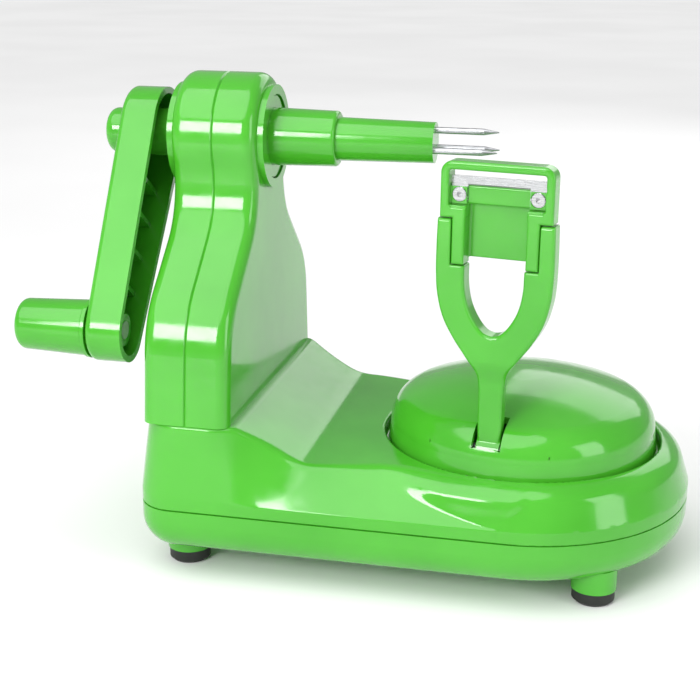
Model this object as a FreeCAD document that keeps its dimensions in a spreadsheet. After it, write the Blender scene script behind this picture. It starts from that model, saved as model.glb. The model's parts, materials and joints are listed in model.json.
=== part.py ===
import FreeCAD, Part
import Sketcher
import math
import os
from FreeCAD import Placement, Rotation, Vector

# Hand-cranked apple peeler. X runs along the base from the crank to the turntable, the operator stands on -Y,
# +Z is up and Z = 0 is the table. Sizes along X are measured from the turntable's axis; every piece is then
# shifted by one offset, so that the origin is the middle of the peeler's footprint.

os.makedirs("parts", exist_ok=True)
doc = FreeCAD.newDocument("apple_peeler")
sheet = doc.addObject("Spreadsheet::Sheet", "Sizes")

# name, value in millimetres or degrees, what it is
SIZES = [
    # base
    ("base_left", 122.5, "turntable axis to the crank end of the base"),
    ("base_half", 57.6, "half width of the base, and radius of its round end"),
    ("corner_round", 13.0, "plan radius of the two square corners"),
    ("wall", 2.4, "moulded wall"),
    ("pan_bottom", 9.5, "height of the tray's underside"),
    ("pan_round", 11.0, "rounding under the tray"),
    ("seam_height", 25.2, "height of the seam between tray and cover"),
    ("chine_height", 30.0, "where the cover's walls start to lean in"),
    ("deck_height", 43.0, "top of the low deck"),
    ("pedestal_height", 54.6, "top of the pedestal under the tower"),
    ("deck_radius", 54.2, "radius of the deck round the turntable"),
    ("pedestal_half", 55.4, "half width of the pedestal's top"),
    ("pedestal_left", 119.9, "turntable axis to the pedestal's outer end"),
    ("ramp_top", 88.0, "turntable axis to the top of the ramp"),
    ("ramp_foot", 67.5, "turntable axis to the foot of the ramp"),
    ("neck_half", 43.0, "half width of the deck at the neck"),
    ("neck_left", 32.0, "turntable axis to the neck"),
    ("deck_round", 2.2, "rounding of the deck's rim"),
    ("ledge_depth", 4.6, "deck to the ledge under the turntable"),
    ("ledge_width", 4.6, "width of that ledge"),
    # feet and base screws
    ("foot_left", 109.5, "turntable axis to the two left feet"),
    ("foot_right", 28.8, "turntable axis to the two right feet"),
    ("foot_half", 37.2, "centre plane to each foot"),
    ("foot_radius", 7.0, "rubber foot"),
    ("foot_height", 4.6, "rubber foot below its boss"),
    ("foot_plug", 3.0, "radius of the foot's plug"),
    ("base_screw_left", 84.0, "turntable axis to the two left base screws"),
    ("base_screw_right", 12.0, "turntable axis to the two right base screws"),
    ("base_screw_half", 42.0, "centre plane to the left base screws"),
    ("base_screw_near", 43.4, "centre plane to the right base screws"),
    ("screw_radius", 1.5, "thread of the case screws"),
    ("screw_head", 3.0, "head of the case screws"),
    ("screw_post", 3.4, "posts that take the case screws"),
    ("head_depth", 2.0, "depth of that head"),
    ("head_play", 0.2, "room round a sunk screw head"),
    ("foot_screw_left", 112.0, "turntable axis to the left screws under the tower"),
    ("foot_screw_right", 97.0, "turntable axis to the right screws under the tower"),
    ("foot_screw_half", 46.0, "centre plane to those screws"),
    ("foot_block", 9.0, "blocks in the tower that take those screws"),
    # tower
    ("tower_left", 119.0, "turntable axis to the tower's outer face"),
    ("tower_seam", 104.2, "turntable axis to the seam between the tower's halves"),
    ("tower_right", 89.7, "turntable axis to the tower's inner face"),
    ("tower_foot", 55.2, "half depth of the tower at its foot"),
    ("side_lean", 0.1, "lean of the tower's sides, depth per height"),
    ("flare_slope", 0.873, "slope of the flare, height per depth"),
    ("flare_apex", 134.4, "height at which the two flares would meet"),
    ("barrel_radius", 21.3, "rounded head of the tower"),
    ("waist_round", 23.0, "hollow between head and flare"),
    ("shoulder_round", 30.0, "rounding between flare and sides"),
    ("edge_round", 4.2, "rounding of the tower's outer edges"),
    ("boss_ring", 17.4, "outer radius of the ring round the shaft"),
    ("boss_rise", 2.0, "height of that ring"),
    ("boss_dish", 14.2, "radius of the dish inside the ring"),
    # shaft
    ("shaft_height", 141.5, "crank shaft above the table"),
    ("shaft_radius", 4.0, "steel shaft"),
    ("running_gap", 0.06, "radial play of turning parts"),
    ("sleeve_radius", 9.7, "collar where it leaves the tower"),
    ("sleeve_nose", 9.3, "collar at its free end"),
    ("sleeve_end", 65.7, "turntable axis to the collar's free end"),
    ("sleeve_start", 97.0, "turntable axis to the collar's hidden end"),
    ("fork_root", 7.3, "thin shaft where it leaves the collar"),
    ("fork_tip", 6.8, "thin shaft at the fruit"),
    ("fork_start", 78.0, "turntable axis to the thin shaft's hidden end"),
    ("fork_end", 33.0, "turntable axis to the face that meets the fruit"),
    ("prong_length", 21.0, "prongs beyond that face"),
    ("prong_circle", 4.2, "radius on which the prongs stand"),
    ("prong_radius", 1.1, "prong"),
    ("bush_wall", 2.0, "wall of the shaft bushes"),
    ("bush_flange", 1.9, "how far their flanges reach past the bush"),
    ("bush_flange_depth", 1.4, "thickness of those flanges"),
    # crank and handle
    ("crank_angle", 35.0, "crank arm forward of straight down"),
    ("crank_length", 73.0, "shaft to handle"),
    ("crank_right", 126.4, "turntable axis to the open side of the crank arm"),
    ("crank_depth", 12.6, "depth of the crank arm's channel"),
    ("crank_hub", 15.4, "radius of the arm round the shaft"),
    ("crank_end", 10.6, "radius of the arm round the handle"),
    ("crank_wall", 2.2, "wall of the channel"),
    ("crank_round", 2.4, "rounding of the arm's outer edge"),
    ("hub_cap_radius", 7.8, "cap over the crank screw"),
    ("hub_cap_height", 8.3, "how far that cap stands out"),
    ("crank_boss", 8.2, "boss of the arm round the shaft"),
    ("crank_rib", 1.6, "ribs across the channel"),
    ("screw_core", 2.0, "thread of the crank's and the turntable's screws"),
    ("handle_length", 25.6, "grip"),
    ("handle_root", 9.4, "grip at the arm"),
    ("handle_tip", 8.5, "grip at its free end"),
    ("handle_round", 2.6, "rounding of the free end"),
    ("handle_pin", 3.0, "pin in the grip"),
    # gears
    ("lay_height", 29.0, "lay shaft above the table"),
    ("crown_inset", 10.3, "turntable's rim to the pitch circle of the crown gear"),
    ("tooth_depth", 1.333, "root of a tooth below the pitch circle, in modules"),
    ("tooth_rise", 0.8, "tip of a tooth above the pitch circle, in modules"),
    ("crown_face", 5.5, "face width of the crown gear and its pinion"),
    ("gear_width", 5.6, "face width"),
    ("drive_teeth", 12, "pinion on the crank shaft"),
    ("large_teeth", 22, "large wheel of the compound gear"),
    ("small_teeth", 12, "small wheel of the compound gear"),
    ("idler_teeth", 42, "idler"),
    ("lay_teeth", 20, "wheel on the lay shaft"),
    ("crown_pinion_teeth", 8, "pinion under the turntable"),
    ("crown_teeth", 48, "crown gear"),
    ("gear_plane_one", 113.0, "turntable axis to the left side of the first pair"),
    ("gear_plane_two", 106.2, "turntable axis to the left side of the second set"),
    ("gear_pin", 2.5, "pins of the compound gear and the idler"),
    ("lay_radius", 3.0, "lay shaft"),
    ("lay_left", 112.0, "turntable axis to the lay shaft's left end"),
    ("bearing_left", 110.6, "turntable axis to the left bearing of the lay shaft"),
    ("bearing_right", 50.0, "turntable axis to its right bearing"),
    ("bearing_half", 7.0, "half width of both bearings"),
    ("pin_boss", 2.5, "wall of the bosses round the gear pins"),
    ("end_play", 0.5, "side play of the gears"),
    # turntable and arm
    ("turntable_radius", 46.3, "turntable at its rim"),
    ("turntable_gap", 1.1, "gap between turntable and deck"),
    ("turntable_bottom", 38.8, "underside of the rim"),
    ("dome_top", 64.5, "top of the dome"),
    ("dome_sphere", 110.0, "radius of the dome's top"),
    ("dome_shoulder", 11.2, "radius of the dome's shoulder"),
    ("dome_shoulder_in", 8.3, "rim to where the shoulder starts"),
    ("dome_wall", 2.2, "wall of the dome"),
    ("turntable_hub", 8.0, "hub that turns in the tray"),
    ("hub_wall", 2.5, "wall of that hub"),
    ("slot_half", 4.8, "half width of the arm's slot in the dome"),
    ("slot_reach", 5.4, "half length of that slot"),
    ("lug_gap", 5.8, "centre of the arm to the lugs of its pin"),
    ("lug_width", 2.8, "those lugs"),
    ("arm_azimuth", 10.0, "turntable at rest, turned to the operator's left"),
    ("arm_reach", 39.0, "turntable axis to the arm's pivot"),
    ("pivot_height", 49.5, "height of the arm's pivot"),
    ("pivot_radius", 1.5, "arm's pivot pin"),
    ("stem_half", 4.0, "half width of the arm's stem"),
    ("stem_depth", 5.0, "depth of the stem"),
    ("fork_half", 18.7, "half width over the fork"),
    ("fork_gap", 9.5, "half width of the gap in the fork"),
    ("fork_depth", 7.0, "depth of the fork and the blade head"),
    ("fork_crotch", 88.2, "bottom of the gap in the fork"),
    ("fork_shoulder", 124.5, "where the blade head sits on the fork"),
    ("head_top", 142.3, "top of the blade head"),
    ("head_half", 17.9, "half width of the blade head"),
    ("head_bar", 2.7, "thickness of the head's bars"),
    ("crossbar_low", 129.0, "lower edge of the head's crossbar"),
    ("crossbar_high", 134.6, "upper edge of the head's crossbar"),
    ("tongue_end", 110.0, "lower end of the head's tongues"),
    ("tongue_half", 14.0, "outer side of the tongues"),
    ("rivet_half", 12.4, "centre of the head to each blade rivet"),
    ("rivet_radius", 2.1, "blade rivets"),
    ("head_recess", 3.5, "crossbar behind the front of the head"),
    ("blade_top", 137.6, "cutting edge"),
    ("blade_thickness", 0.6, "peeling blade"),
]


class Size:
    """A number together with the spreadsheet expression that gives it."""

    def __init__(self, number, text):
        self.number = number
        self.text = text

    def mix(self, other, sign, swap=False):
        other = other if isinstance(other, Size) else Size(float(other), repr(float(other)))
        first, second = (other, self) if swap else (self, other)
        text = "(%s %s %s)" % (first.text, sign, second.text)
        one, two = first.number, second.number
        result = {"+": one + two, "-": one - two, "*": one * two}
        return Size(one / two if sign == "/" else result[sign], text)

    def __add__(self, other):
        return self.mix(other, "+")

    def __radd__(self, other):
        return self.mix(other, "+", True)

    def __sub__(self, other):
        return self.mix(other, "-")

    def __rsub__(self, other):
        return self.mix(other, "-", True)

    def __mul__(self, other):
        return self.mix(other, "*")

    def __rmul__(self, other):
        return self.mix(other, "*", True)

    def __truediv__(self, other):
        return self.mix(other, "/")

    def __rtruediv__(self, other):
        return self.mix(other, "/", True)

    def __neg__(self):
        return self.mix(-1.0, "*")


def root_of(size):
    return Size(math.sqrt(size.number), "sqrt(%s)" % size.text)


def sine(angle):
    return Size(math.sin(math.radians(angle.number)), "sin(%s * 1deg)" % angle.text)


def cosine(angle):
    return Size(math.cos(math.radians(angle.number)), "cos(%s * 1deg)" % angle.text)


for row, (alias, value, note) in enumerate(SIZES, start=1):
    sheet.set("A%d" % row, alias)
    sheet.set("B%d" % row, str(value))
    sheet.set("C%d" % row, note)
    sheet.setAlias("B%d" % row, alias)
doc.recompute()


def size(alias):
    return Size(float(sheet.get(alias)), "Sizes." + alias)


def as_size(value):
    return value if isinstance(value, Size) else Size(float(value), repr(float(value)))


def bind(item, path, value):
    value = as_size(value)
    if "Sizes." in value.text:
        item.setExpression(path, value.text)


ZERO = as_size(0)
UPRIGHT = Rotation()
ALONG_X = Rotation(Vector(0, 1, 0), 90)
ALONG_Y = Rotation(Vector(1, 0, 0), -90)
HANDLE_GAP = 0.3
# the middle of the footprint, seen from the turntable's axis
SHIFT = (size("crank_right") + size("crank_depth") + size("handle_length") + HANDLE_GAP - size("base_half")) / 2.0


def put(item, at, turn=UPRIGHT):
    at = [as_size(value) for value in at]
    item.Placement = Placement(Vector(*[value.number for value in at]), turn)
    for axis, value in zip("xyz", at):
        bind(item, "Placement.Base." + axis, value)
    return item


def cylinder(name, radius, height, at, turn=UPRIGHT):
    item = doc.addObject("Part::Cylinder", name)
    item.Radius = as_size(radius).number
    item.Height = as_size(height).number
    bind(item, "Radius", radius)
    bind(item, "Height", height)
    return put(item, at, turn)


def cone(name, first, second, height, at, turn=UPRIGHT):
    item = doc.addObject("Part::Cone", name)
    item.Radius1 = as_size(first).number
    item.Radius2 = as_size(second).number
    item.Height = as_size(height).number
    bind(item, "Radius1", first)
    bind(item, "Radius2", second)
    bind(item, "Height", height)
    return put(item, at, turn)


def box(name, low, high):
    low = [as_size(value) for value in low]
    high = [as_size(value) for value in high]
    item = doc.addObject("Part::Box", name)
    for side, first, second in zip(("Length", "Width", "Height"), low, high):
        span = second - first
        setattr(item, side, span.number)
        bind(item, side, span)
    return put(item, low)


def fuse(name, items):
    item = doc.addObject("Part::MultiFuse", name)
    item.Shapes = items
    item.Refine = True
    return item


def cut(name, base, tools):
    item = doc.addObject("Part::Cut", name)
    item.Base = base
    item.Tool = tools[0] if len(tools) == 1 else fuse(name + "_tools", tools)
    return item


def group(name, items):
    item = doc.addObject("Part::Compound", name)
    item.Links = items
    return item


def draw(sketch, path):
    """A closed outline. Each entry is a corner (x, y), or (x, y, radius, side) when an arc leads to the corner:
    side is +1 for an arc that turns left and -1 for one that turns right."""
    corners = [(as_size(entry[0]), as_size(entry[1])) for entry in path]
    count = len(path)
    first_edge = sketch.GeometryCount
    for index, entry in enumerate(path):
        start = Vector(corners[index - 1][0].number, corners[index - 1][1].number, 0)
        end = Vector(corners[index][0].number, corners[index][1].number, 0)
        if len(entry) == 2:
            sketch.addGeometry(Part.LineSegment(start, end), False)
            continue
        radius = as_size(entry[2]).number
        half = start.distanceToPoint(end) / 2.0
        along = (end - start).normalize()
        left = Vector(-along.y, along.x, 0) * entry[3]
        centre = (start + end) * 0.5 + left * math.sqrt(max(radius * radius - half * half, 0.0))
        ends = [start, end] if entry[3] > 0 else [end, start]
        angles = [math.atan2(point.y - centre.y, point.x - centre.x) for point in ends]
        if angles[1] <= angles[0]:
            angles[1] += 2 * math.pi
        circle = Part.Circle(centre, Vector(0, 0, 1), radius)
        sketch.addGeometry(Part.ArcOfCircle(circle, angles[0], angles[1]), False)
    for index in range(count):
        edge = first_edge + index
        shape = sketch.Geometry[edge]
        here = Vector(corners[index][0].number, corners[index][1].number, 0)
        point = 2 if shape.EndPoint.distanceToPoint(here) < shape.StartPoint.distanceToPoint(here) else 1
        following = first_edge + (index + 1) % count
        after = sketch.Geometry[following]
        joined = 1 if after.StartPoint.distanceToPoint(here) < after.EndPoint.distanceToPoint(here) else 2
        sketch.addConstraint(Sketcher.Constraint("Coincident", edge, point, following, joined))
        for kind, value in (("DistanceX", corners[index][0]), ("DistanceY", corners[index][1])):
            fixed = sketch.addConstraint(Sketcher.Constraint(kind, -1, 1, edge, point, value.number))
            bind(sketch, "Constraints[%d]" % fixed, value)
        if len(path[index]) > 2:
            radius = as_size(path[index][2])
            fixed = sketch.addConstraint(Sketcher.Constraint("Radius", edge, radius.number))
            bind(sketch, "Constraints[%d]" % fixed, radius)


def draw_circle(sketch, centre, radius):
    x, y, radius = as_size(centre[0]), as_size(centre[1]), as_size(radius)
    round_edge = Part.Circle(Vector(x.number, y.number, 0), Vector(0, 0, 1), radius.number)
    edge = sketch.addGeometry(round_edge, False)
    for kind, value in (("DistanceX", x), ("DistanceY", y)):
        fixed = sketch.addConstraint(Sketcher.Constraint(kind, -1, 1, edge, 3, value.number))
        bind(sketch, "Constraints[%d]" % fixed, value)
    fixed = sketch.addConstraint(Sketcher.Constraint("Radius", edge, radius.number))
    bind(sketch, "Constraints[%d]" % fixed, radius)


class Piece:
    """A PartDesign body built up from sketches on its own origin planes."""

    def __init__(self, name):
        self.name = name
        self.body = doc.addObject("PartDesign::Body", name)
        self.made = 0

    def label(self, kind):
        self.made += 1
        return "%s_%s_%d" % (self.name, kind, self.made)

    def sketch(self, plane, level=0, paths=(), circles=()):
        item = self.body.newObject("Sketcher::SketchObject", self.label("sketch"))
        flat = [thing for thing in self.body.Origin.OriginFeatures if thing.Role == plane + "_Plane"][0]
        item.AttachmentSupport = [(flat, "")]
        item.MapMode = "FlatFace"
        level = as_size(level)
        item.AttachmentOffset = Placement(Vector(0, 0, level.number), Rotation())
        bind(item, "AttachmentOffset.Base.z", level)
        for path in paths:
            draw(item, path)
        for centre, radius in circles:
            draw_circle(item, centre, radius)
        return item

    def extrude(self, kind, plane, level, length, paths=(), circles=(), back=False):
        profile = self.sketch(plane, level, paths, circles)
        item = self.body.newObject("PartDesign::" + kind, self.label(kind.lower()))
        item.Profile = profile
        item.Length = as_size(length).number
        bind(item, "Length", length)
        item.Reversed = back
        doc.recompute()
        return item

    def pad(self, plane, level, length, paths=(), circles=(), back=False):
        return self.extrude("Pad", plane, level, length, paths, circles, back)

    def pocket(self, plane, level, length, paths=(), circles=(), back=False):
        return self.extrude("Pocket", plane, level, length, paths, circles, back)

    def revolve(self, path, kind="Revolution", plane="XZ", axis="V_Axis"):
        profile = self.sketch(plane, 0, [path])
        item = self.body.newObject("PartDesign::" + kind, self.label("turned"))
        item.Profile = profile
        item.ReferenceAxis = (profile, [axis])
        item.Angle = 360
        doc.recompute()
        return item

    def loft(self, plane, levels, paths):
        sections = [self.sketch(plane, level, [path]) for level, path in zip(levels, paths)]
        item = self.body.newObject("PartDesign::AdditiveLoft", self.label("loft"))
        item.Profile = sections[0]
        item.Sections = sections[1:]
        item.Ruled = True
        doc.recompute()
        return item

    def repeat(self, feature, count, axis="Z"):
        """Repeats a feature round one of the origin's axes."""
        item = self.body.newObject("PartDesign::PolarPattern", self.label("pattern"))
        item.Originals = [feature]
        line = [thing for thing in self.body.Origin.OriginFeatures if thing.Role == axis + "_Axis"][0]
        item.Axis = (line, [""])
        self.body.Tip = item
        item.Occurrences = int(as_size(count).number)
        bind(item, "Occurrences", count)
        item.Angle = 360
        doc.recompute()
        return item

    def round(self, radius, chosen, kind="Fillet"):
        """Rounds the edges of the tip for which chosen(edge) is true."""
        doc.recompute()
        tip = self.body.Tip
        names = ["Edge%d" % (index + 1) for index, edge in enumerate(tip.Shape.Edges) if chosen(edge)]
        item = self.body.newObject("PartDesign::" + kind, self.label(kind.lower()))
        item.Base = (tip, names)
        path = "Radius" if kind == "Fillet" else "Size"
        setattr(item, path, as_size(radius).number)
        bind(item, path, radius)
        doc.recompute()
        return item


def near(value, target, slack=0.05):
    return abs(value - as_size(target).number) < slack


def flat_at(edge, axis, level, slack=0.05):
    """True for an edge that lies wholly in the plane axis = level."""
    box_of = edge.BoundBox
    spans = {
        "x": (box_of.XMin, box_of.XMax),
        "y": (box_of.YMin, box_of.YMax),
        "z": (box_of.ZMin, box_of.ZMax),
    }
    return all(near(value, level, slack) for value in spans[axis])


def along_x(edge):
    return edge.BoundBox.YLength < 0.01 and edge.BoundBox.ZLength < 0.01


def along_y(edge):
    return edge.BoundBox.XLength < 0.01 and edge.BoundBox.ZLength < 0.01


kept = []


def keep(item, label, height=0, turn=UPRIGHT, angle=None):
    """Names a finished piece and puts it in its place in the peeler."""
    item = item.body if isinstance(item, Piece) else item
    item.Label = label
    put(item, (SHIFT, 0, height), turn)
    if angle is not None:
        bind(item, "Placement.Rotation.Angle", angle)
    kept.append(item)
    return item


wall = size("wall")
gap = size("running_gap")
seam = size("seam_height")
shaft_height = size("shaft_height")
deck = size("deck_height")
pedestal = size("pedestal_height")
chine = size("chine_height")
screw = size("screw_radius")
post = size("screw_post")
BOTH = (1, -1)


# ---------------------------------------------------------------- base
def plan(inset):
    """Plan of the base: square corners at the crank end, a half circle at the turntable."""
    left = size("base_left") - inset
    half = size("base_half") - inset
    turn = size("corner_round") - inset
    return [
        (-(left - turn), -half, turn, 1),
        (0, -half),
        (half, 0, half, 1),
        (0, half, half, 1),
        (-(left - turn), half),
        (-left, half - turn, turn, 1),
        (-left, -(half - turn)),
    ]


def shoulders(left, half, turn, middle_half, end, end_half):
    """Plan of the raised part at one height, from the crank end to where it dies into the round end."""
    return [
        (-(left - turn), -half, turn, 1),
        (-size("ramp_top"), -middle_half),
        (-end, -end_half),
        (-end, end_half),
        (-size("ramp_top"), middle_half),
        (-(left - turn), half),
        (-left, half - turn, turn, 1),
        (-left, -(half - turn)),
    ]


def housing(name, inset, bottom):
    """The cover's outside, or with an inset its inside."""
    half = size("base_half") - inset
    turn = size("corner_round") - inset
    rise = (pedestal - chine) / (deck - chine)
    end = size("neck_left") * rise
    end_half = size("base_half") + (size("neck_half") - size("base_half")) * rise - inset
    top_half = size("pedestal_half") - inset
    piece = Piece(name)
    low = shoulders(size("base_left") - inset, half, turn, half, ZERO, half)
    high = shoulders(size("pedestal_left") - inset, top_half, turn, top_half, end, end_half)
    piece.loft("XY", (chine, pedestal - inset), (low, high))
    ramp = [
        (-size("ramp_top") - inset * 0.3, pedestal - inset),
        (-size("ramp_foot") - inset * 0.3, deck - inset),
        (size("base_half"), deck - inset),
        (size("base_half"), pedestal + 5),
        (-size("ramp_top") - inset * 0.3, pedestal + 5),
    ]
    piece.pocket("XZ", size("base_half") + 20, size("base_half") * 2 + 40, [ramp])
    piece.revolve([(0, chine), (half, chine), (size("deck_radius") - inset, deck - inset), (0, deck - inset)])
    piece.pad("XY", bottom, chine - bottom, [plan(inset)])
    return piece


def tray(name, inset):
    """The tray's outside, or with an inset its inside."""
    bottom = size("pan_bottom") + inset
    piece = Piece(name)
    piece.pad("XY", bottom, seam - bottom, [plan(inset)])
    piece.round(size("pan_round") - inset, lambda edge: flat_at(edge, "z", bottom))
    return piece


base_screws_at = [
    (-size("base_screw_left"), size("base_screw_half"), pedestal - 4.1),
    (size("base_screw_right"), size("base_screw_near"), deck - 6.0),
]
base_screws_at = [(x, side * y, top) for x, y, top in base_screws_at for side in BOTH]
feet_at = [(x, side * size("foot_half")) for x in (-size("foot_left"), size("foot_right")) for side in BOTH]
foot_screw_sides = (size("foot_screw_left"), size("foot_screw_right"))
foot_screws_at = [(-x, side * size("foot_screw_half")) for x in foot_screw_sides for side in BOTH]
floor = size("pan_bottom") + wall
well = size("turntable_radius") + size("turntable_gap")
ledge = deck - size("ledge_depth")
hub = size("turntable_hub")
hub_wall = size("hub_wall")
head_play = size("head_play")
core = size("screw_core")

outside = housing("cover_outside", ZERO, seam)
outside.round(size("deck_round"), lambda edge: flat_at(edge, "z", deck) and edge.BoundBox.XMax > 0)
inside = housing("cover_inside", wall, seam - 1)
shell = cut("cover_shell", outside.body, [inside.body])
rim = cylinder("well_wall", well + wall, deck - ledge + wall - 0.4, (0, 0, ledge - wall))
posts = [cylinder("cover_post", post, top - seam, (x, y, seam)) for x, y, top in base_screws_at]
solid_cover = fuse("cover_solid", [shell, rim] + posts)
openings = [
    cylinder("turntable_well", well, deck, (0, 0, ledge)),
    cylinder("well_floor", well - size("ledge_width"), deck, (0, 0, seam)),
    box("gear_opening", (-size("tower_left") + 4, -30, chine), (-size("tower_right") - 4, 30, pedestal + 1)),
]
openings += [cylinder("cover_pilot", screw, top - seam - 2, (x, y, seam)) for x, y, top in base_screws_at]
openings += [cylinder("foot_pilot", screw, 10, (x, y, pedestal - 5)) for x, y in foot_screws_at]
keep(cut("base_cover_cut", solid_cover, openings), "base_cover")

pan = cut("pan_shell", tray("tray_outside", ZERO).body, [tray("tray_inside", wall).body])
boss_low = size("foot_height")
boss = size("foot_radius") + 0.5
additions = [cylinder("foot_boss", boss, floor + 0.6 - boss_low, (x, y, boss_low)) for x, y in feet_at]
additions += [cylinder("pan_post", post + 1, seam - floor + 1, (x, y, floor - 1)) for x, y, top in base_screws_at]
additions += [cylinder("turntable_boss", hub + 3.5, chine - size("pan_bottom"), (0, 0, size("pan_bottom")))]
removals = [cylinder("foot_hole", size("foot_plug"), 4, (x, y, boss_low)) for x, y in feet_at]
removals += [cylinder("hub_bore", hub + gap, 60, (0, 0, 0))]
removals += [cylinder("screw_hole", screw, 40, (x, y, 0)) for x, y, top in base_screws_at]
sunk = size("screw_head") + head_play
removals += [cylinder("head_hole", sunk, floor + 1, (x, y, 0)) for x, y, top in base_screws_at]
keep(cut("base_pan_cut", fuse("pan_solid", [pan] + additions), removals), "base_pan")

feet = []
for x, y in feet_at:
    sole = cone("foot_sole", size("foot_radius") - 1, size("foot_radius"), 1, (x, y, 0))
    disc = cylinder("foot_disc", size("foot_radius"), boss_low - 1, (x, y, 1))
    plug = cylinder("foot_plug", size("foot_plug"), 4, (x, y, boss_low))
    feet.append(fuse("foot", [sole, disc, plug]))
keep(group("feet_group", feet), "rubber_feet")


def case_screw(x, y, z, length, turn=UPRIGHT):
    """A pan-head screw whose head starts at the given point."""
    item = fuse("case_screw", [
        cylinder("screw_head", size("screw_head"), size("head_depth"), (0, 0, 0)),
        cylinder("screw_shank", screw, length, (0, 0, size("head_depth"))),
    ])
    return put(item, (x, y, z), turn)


long_screws = [case_screw(x, y, floor + 1 - size("head_depth"), 20) for x, y, top in base_screws_at]
keep(group("base_screw_group", long_screws), "base_screws")

# ---------------------------------------------------------------- tower
flare_scale = root_of(size("flare_slope") * size("flare_slope") + 1)


def bell(inset, bottom):
    """The tower's sides and flares, which meet inside its round head."""
    lean = size("side_lean")
    slope = size("flare_slope")
    foot = size("tower_foot") - inset
    apex = size("flare_apex") - flare_scale * inset
    height = (apex - slope * foot - lean * slope * pedestal) / (1 - lean * slope)
    depth = foot - lean * (height - pedestal)
    low = foot - lean * (bottom - pedestal)
    return [(-low, bottom), (low, bottom), (depth, height), (0, apex), (-depth, height)]


def tower_block(name, start, length, inset, bottom):
    piece = Piece(name)
    path = bell(inset, bottom)
    corner = path[2][1].number
    piece.pad("YZ", start, length, [path])
    piece.pad("YZ", start, length, circles=[((0, shaft_height), size("barrel_radius") - inset)])
    head = shaft_height.number
    piece.round(size("waist_round") + inset, lambda edge: along_x(edge) and corner + 5 < edge.BoundBox.ZMin < head - 2)
    piece.round(size("shoulder_round") - inset, lambda edge: along_x(edge) and near(edge.BoundBox.ZMin, corner))
    return piece


left_face = -size("tower_left")
right_face = -size("tower_right")
middle = -size("tower_seam")
lay_height = size("lay_height")
tooth_sum = size("drive_teeth") + size("large_teeth") + size("small_teeth") + size("idler_teeth") * 2 + size("lay_teeth")
module = (shaft_height - lay_height) * 2 / tooth_sum
drive_pitch = module * size("drive_teeth") / 2.0
large_pitch = module * size("large_teeth") / 2.0
small_pitch = module * size("small_teeth") / 2.0
idler_pitch = module * size("idler_teeth") / 2.0
compound_height = shaft_height - drive_pitch - large_pitch
idler_height = compound_height - small_pitch - idler_pitch
plane_one = -size("gear_plane_one")
plane_two = -size("gear_plane_two")
width = size("gear_width")
pin = size("gear_pin")
PIN_HOLD = 1.2
tower_screws_at = [(side * y, z) for y, z in ((45, 66), (37.5, 88)) for side in BOTH]
sleeve_bore = size("sleeve_radius") + gap
shaft_bore = size("shaft_radius") + gap
left_bush = shaft_bore + size("bush_wall")
right_bush = sleeve_bore + size("bush_wall")


def tower_half(name, outer_face, outward):
    """One half of the tower: outward is -1 for the crank side and +1 for the fruit side."""
    left_half = outward < 0
    low = outer_face if left_half else middle
    high = middle if left_half else outer_face
    above_foot = pedestal.number + 0.1
    block = tower_block(name + "_outside", low, high - low, ZERO, pedestal)
    block.round(size("edge_round"), lambda edge: flat_at(edge, "x", outer_face) and edge.BoundBox.ZMax > above_foot)
    block.round(0.5, lambda edge: flat_at(edge, "x", middle) and edge.BoundBox.ZMax > above_foot, "Chamfer")
    inner = outer_face - wall * outward
    hollow_low = inner if left_half else low - 1
    hollow_high = high + 1 if left_half else inner
    hollow = tower_block(name + "_hollow", hollow_low, hollow_high - hollow_low, wall, pedestal - 1)

    def inward(label, radius, start, length, y, z):
        """A cylinder along X that runs inward from a depth behind the inner face."""
        begin = inner + start if left_half else inner - start - length
        return cylinder(name + label, radius, length, (begin, y, z), ALONG_X)

    parts = [cut(name + "_shell", block.body, [hollow.body])]
    reach = (middle - inner) * -outward
    for y, z in tower_screws_at:
        parts.append(inward("_post", post, -1, reach + 1, y, z))
    gear_sides = (plane_one, plane_two) if left_half else (plane_two + width, plane_two + width)
    for height, side in zip((compound_height, idler_height), gear_sides):
        depth = (side - inner) * -outward - size("end_play")
        parts.append(inward("_boss", pin + size("pin_boss"), -1, depth + 1, 0, height))
    block_size = size("foot_block")
    near_x = inner - 0.5 if left_half else inner - block_size
    far_x = inner + block_size if left_half else inner + 0.5
    for side in BOTH:
        near_y = size("foot_screw_half") * side - block_size / 2
        corner_low = (near_x, near_y, pedestal)
        parts.append(box(name + "_foot", corner_low, (far_x, near_y + block_size, pedestal + block_size)))
    collar = size("boss_rise")
    ring_start = outer_face - collar if left_half else outer_face - 1
    parts.append(cylinder(name + "_ring", size("boss_ring"), collar + 1, (ring_start, 0, shaft_height), ALONG_X))
    bush = left_bush if left_half else right_bush
    dish_start = outer_face - 10 if left_half else outer_face
    tools = [
        cylinder(name + "_bush_hole", bush, 30, (outer_face - 15, 0, shaft_height), ALONG_X),
        cylinder(name + "_dish", size("boss_dish"), 10, (dish_start, 0, shaft_height), ALONG_X),
    ]
    for height in (compound_height, idler_height):
        tools.append(inward("_pin_hole", pin, -PIN_HOLD, 20, 0, height))
    for y, z in tower_screws_at:
        tools.append(inward("_screw_hole", screw, 0 if left_half else 1, 20, y, z))
        if left_half:
            head_room = size("screw_head") + head_play
            tools.append(cylinder(name + "_head", head_room, 6, (outer_face - 3, y, z), ALONG_X))
    for x, y in foot_screws_at:
        tools.append(cylinder(name + "_foot_hole", screw, 8, (x, y, pedestal - 1), UPRIGHT))
    return keep(cut(name + "_cut", fuse(name + "_solid", parts), tools), name)


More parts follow.
